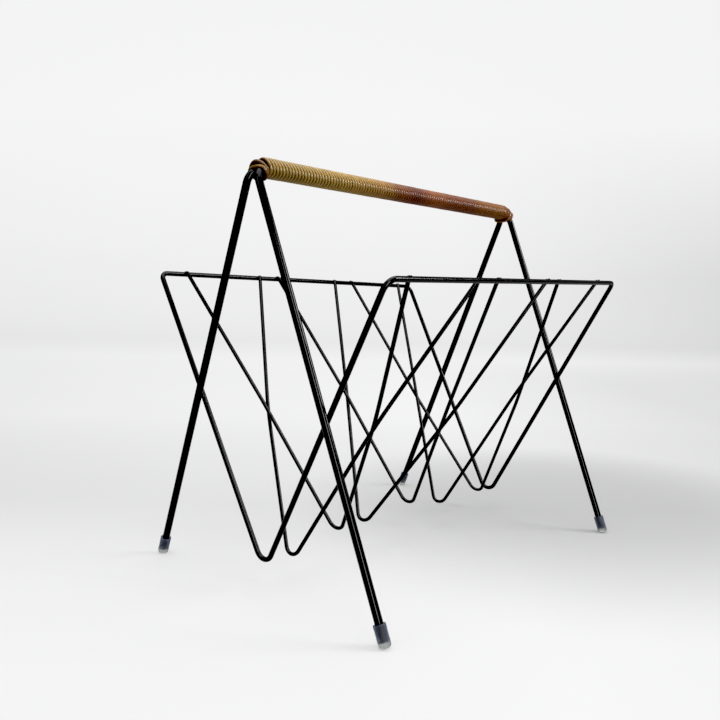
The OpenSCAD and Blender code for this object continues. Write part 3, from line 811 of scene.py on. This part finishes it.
aside_dim = put(tree, "Math", {0: 1.0, 1: far_part.outputs[0]}, operation="SUBTRACT")
dimmed = {0: glow.outputs["Color"], "Scale": aside_dim.outputs[0]}
dim_glow = put(tree, "VectorMath", dimmed, operation="SCALE").outputs[0]
# A soft round pool of shade is painted beside the foot: deepest at its middle, and none where the
# square of the distance from there reaches pool_edge.
pool_place, pool_edge, pool_depth = right * 0.22 + ahead * 0.14, 0.13, 0.19
pool_at = put(tree, "Mapping", {"Vector": spot, "Location": tuple(-pool_place)}).outputs[0]
pool_far = put(tree, "VectorMath", {0: pool_at, 1: pool_at}, operation="DOT_PRODUCT")
pool_range = {"Value": pool_far.outputs["Value"], "From Min": 0.0, "From Max": pool_edge,
              "To Min": pool_depth, "To Max": 0.0}
pool = put(tree, "MapRange", pool_range, interpolation_type="SMOOTHSTEP").outputs[0]
pool_tone = put(tree, "CombineXYZ", {0: pool, 1: pool, 2: pool}).outputs[0]
painted_light_and_shade = put(tree, "VectorMath", {0: dim_glow, 1: pool_tone}, operation="SUBTRACT")
shader.inputs["Roughness"].default_value = 0.75
shader.inputs["Specular IOR Level"].default_value = 0.05
# The painted light and shade show to the eye and through the caps, and light nothing.
seen = put(tree, "LightPath").outputs
shown = put(
    tree, "Math", {0: seen["Is Camera Ray"], 1: seen["Is Transmission Ray"]}, operation="MAXIMUM"
)
tree.links.new(shown.outputs[0], shader.inputs["Emission Strength"])
tree.links.new(tone.outputs["Color"], shader.inputs["Base Color"])
tree.links.new(painted_light_and_shade.outputs[0], shader.inputs["Emission Color"])
backdrop.data.materials.append(paper)


def soft_box(name, place, target, width, height, power):
    """A flat rectangular lamp at a place in metres, turned to face a target."""
    lamp = bpy.data.lights.new(name, "AREA")
    lamp.shape, lamp.size, lamp.size_y, lamp.energy = "RECTANGLE", width, height, power
    held = bpy.data.objects.new(name, lamp)
    held.location = place
    held.rotation_mode = "QUATERNION"
    held.rotation_quaternion = (Vector(target) - Vector(place)).to_track_quat("-Z", "Y")
    bpy.context.scene.collection.objects.link(held)
    return held


soft_box("top_box", (0.0, 0.0, 2.2), (0.0, 0.0, 0), 2.6, 2.6, 58)
soft_box("left_box", (-1.9, 0.2, 1.5), (0, 0, 0.15), 1.0, 1.0, 5)
soft_box("right_box", (1.2, -1.35, 1.2), (0, 0, 0.1), 0.7, 0.7, 24)
edge = soft_box("edge_box", (-0.72, -1.25, 0.55), (-0.05, -0.1, 0.2), 0.5, 1.2, 15)
edge.visible_diffuse = edge.visible_transmission = False  # it only draws the gloss
world = bpy.data.worlds.new("room")
world.use_nodes = True
tree = world.node_tree
room = tree.nodes["Background"]
room.inputs["Color"].default_value = (0.95, 0.97, 1.0, 1)
room_light, room_looks = 0.22, 0.86  # how strongly the room lights the rack, and how it looks
room_seen = put(tree, "LightPath").outputs["Is Camera Ray"]
room_tone = put(tree, "MapRange", {"Value": room_seen, "To Min": room_light, "To Max": room_looks})
tree.links.new(room_tone.outputs[0], room.inputs["Strength"])
bpy.context.scene.world = world

# ------------------------------------------------------------------ the camera
# It stands to the front left of the rack, a little below the handle, and looks slightly down.
camera = bpy.data.objects.new("camera", bpy.data.cameras.new("camera"))
camera.data.sensor_width, camera.data.lens = 36.0, 36.665
camera.data.clip_start, camera.data.clip_end = 0.02, 60
stands_at = (-0.552797, -0.441570, 0.240270)
forward = ahead * np.cos(pitch_down) - np.array([0, 0, np.sin(pitch_down)])
level = unit(np.cross(forward, [0, 0, 1]))
above = np.cross(level, forward)
x_axis = np.cos(roll) * level + np.sin(roll) * above
y_axis = -np.sin(roll) * level + np.cos(roll) * above
turned = Matrix(np.stack([x_axis, y_axis, -forward], -1).tolist()).to_4x4()
camera.matrix_world = Matrix.Translation(stands_at) @ turned
bpy.context.scene.collection.objects.link(camera)
bpy.context.scene.camera = camera
look = bpy.context.scene.view_settings
look.view_transform, look.use_curve_mapping = "Standard", True
look.curve_mapping.black_level = (0.022, 0.022, 0.022)
